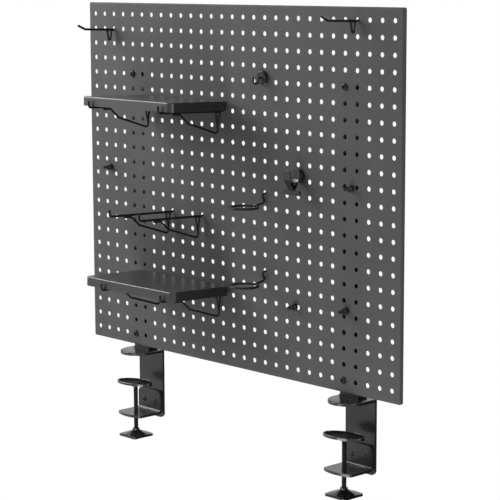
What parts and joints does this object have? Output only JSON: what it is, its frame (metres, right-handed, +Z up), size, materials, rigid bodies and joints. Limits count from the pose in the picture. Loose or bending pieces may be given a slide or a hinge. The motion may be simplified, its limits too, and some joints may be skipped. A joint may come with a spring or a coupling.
{
  "type": "desk pegboard",
  "caption": "Perforated steel pegboard that clamps to a desk's edge, with tray shelves on wire brackets, hooks, ring holders and magnets that keep small things off the desk.",
  "frame": {"origin": "on the desk top at the desk's edge, midway between the clamps", "axes": "+X along the desk's edge to the right of the user, -Y towards the user, +Z up"},
  "size_m": [0.7452, 0.1853, 0.7641],
  "materials": {
    "panel_coat": "matt charcoal powder coat",
    "black_coat": "satin black powder coat",
    "shelf_coat": "satin black powder coat",
    "wire_coat": "black coated wire",
    "black_bolt": "black oxide steel",
    "zinc": "zinc plated",
    "magnet": "nickel plated",
    "black_plastic": "fine moulded black"
  },
  "bodies": {
    "board": {"panel": "panel_coat", "post_left": "black_coat", "post_right": "black_coat", "spacers": "zinc", "panel_bolts": "black_bolt", "panel_nuts": "zinc", "foot_bolts": "black_bolt", "clamp_left": "black_coat", "clamp_right": "black_coat", "lower_jaw_left": "black_coat", "lower_jaw_right": "black_coat", "jaw_bolts": "black_bolt", "jaw_nuts": "zinc", "bracket_upper_left": "wire_coat", "bracket_upper_right": "wire_coat", "bracket_lower_left": "wire_coat", "bracket_lower_right": "wire_coat"},
    "pad_left": {"pad_left": "black_plastic"},
    "screw_left": {"screw_left": "black_bolt", "knob_left": "black_plastic"},
    "pad_right": {"pad_right": "black_plastic"},
    "screw_right": {"screw_right": "black_bolt", "knob_right": "black_plastic"},
    "shelf_upper": {"shelf_upper": "shelf_coat"},
    "shelf_lower": {"shelf_lower": "shelf_coat"},
    "bracket_middle_left": {"bracket_middle_left": "wire_coat"},
    "bracket_middle_right": {"bracket_middle_right": "wire_coat"},
    "hook_left": {"hook_left": "wire_coat"},
    "hook_right": {"hook_right": "wire_coat"},
    "ring_upper": {"ring_upper": "wire_coat"},
    "ring_lower": {"ring_lower": "wire_coat"},
    "magnet_hook": {"magnet_hook_base": "black_plastic", "magnet_hook_magnet": "magnet", "magnet_hook": "wire_coat"},
    "clip": {"clip_base": "black_plastic", "clip_magnet": "magnet", "clip_back": "black_coat", "clip_pivot": "zinc", "clip_spring": "zinc"},
    "clip_lever": {"clip_front": "black_coat"},
    "push_pin_1": {"push_pin_1": "black_plastic", "push_pin_1_magnet": "magnet"},
    "push_pin_2": {"push_pin_2": "black_plastic", "push_pin_2_magnet": "magnet"},
    "push_pin_3": {"push_pin_3": "black_plastic", "push_pin_3_magnet": "magnet"},
    "push_pin_4": {"push_pin_4": "black_plastic", "push_pin_4_magnet": "magnet"}
  },
  "joints": [
    {"name": "pad_slide_left", "type": "slide", "parent": "board", "child": "pad_left", "axis": [0, 0, 1], "range_m": [-0.044, 0.022]},
    {"name": "screw_turn_left", "type": "hinge", "parent": "pad_left", "child": "screw_left", "pos_m": [-0.257, -0.036, -0.09], "axis": [0, 0, 1], "range_deg": [-12672, 6336]},
    {"name": "pad_slide_right", "type": "slide", "parent": "board", "child": "pad_right", "axis": [0, 0, 1], "range_m": [-0.044, 0.022]},
    {"name": "screw_turn_right", "type": "hinge", "parent": "pad_right", "child": "screw_right", "pos_m": [0.257, -0.036, -0.09], "axis": [0, 0, 1], "range_deg": [-12672, 6336]},
    {"name": "shelf_lift_upper", "type": "slide", "parent": "board", "child": "shelf_upper", "axis": [0, 0, 1], "range_m": [0, 0.03]},
    {"name": "shelf_lift_lower", "type": "slide", "parent": "board", "child": "shelf_lower", "axis": [0, 0, 1], "range_m": [0, 0.03]},
    {"name": "bracket_middle_left_swing", "type": "hinge", "parent": "board", "child": "bracket_middle_left", "pos_m": [-0.1524, -0.0338, 0.26015], "axis": [-1, 0, 0], "range_deg": [0, 45]},
    {"name": "bracket_middle_right_swing", "type": "hinge", "parent": "board", "child": "bracket_middle_right", "pos_m": [-0.0762, -0.0338, 0.26015], "axis": [-1, 0, 0], "range_deg": [0, 45]},
    {"name": "hook_left_swing", "type": "hinge", "parent": "board", "child": "hook_left", "pos_m": [-0.3048, -0.0338, 0.56495], "axis": [-1, 0, 0], "range_deg": [0, 45]},
    {"name": "hook_right_swing", "type": "hinge", "parent": "board", "child": "hook_right", "pos_m": [0.2794, -0.0338, 0.59035], "axis": [-1, 0, 0], "range_deg": [0, 45]},
    {"name": "ring_upper_swing", "type": "hinge", "parent": "board", "child": "ring_upper", "pos_m": [0.0762, -0.0338, 0.31095], "axis": [-1, 0, 0], "range_deg": [0, 55]},
    {"name": "ring_lower_swing", "type": "hinge", "parent": "board", "child": "ring_lower", "pos_m": [0.0762, -0.0338, 0.18395], "axis": [-1, 0, 0], "range_deg": [0, 55]},
    {"name": "magnet_hook_pull", "type": "slide", "parent": "board", "child": "magnet_hook", "axis": [0, -1, 0], "range_m": [0, 0.015]},
    {"name": "clip_pull", "type": "slide", "parent": "board", "child": "clip", "axis": [0, -1, 0], "range_m": [0, 0.015]},
    {"name": "clip_press", "type": "hinge", "parent": "clip", "child": "clip_lever", "pos_m": [0.1568, -0.0532, 0.337], "axis": [-1, 0, 0], "range_deg": [0, 40], "stiffness_Nm_per_rad": 0.15, "springref_deg": -34.38},
    {"name": "push_pin_1_pull", "type": "slide", "parent": "board", "child": "push_pin_1", "axis": [0, -1, 0], "range_m": [0, 0.015]},
    {"name": "push_pin_2_pull", "type": "slide", "parent": "board", "child": "push_pin_2", "axis": [0, -1, 0], "range_m": [0, 0.015]},
    {"name": "push_pin_3_pull", "type": "slide", "parent": "board", "child": "push_pin_3", "axis": [0, -1, 0], "range_m": [0, 0.015]},
    {"name": "push_pin_4_pull", "type": "slide", "parent": "board", "child": "push_pin_4", "axis": [0, -1, 0], "range_m": [0, 0.015]}
  ],
  "couplings": [
    {"joint": "pad_slide_left", "follows": "screw_turn_left", "m_per_rad": 0.00019894},
    {"joint": "pad_slide_right", "follows": "screw_turn_right", "m_per_rad": 0.00019894}
  ]
}
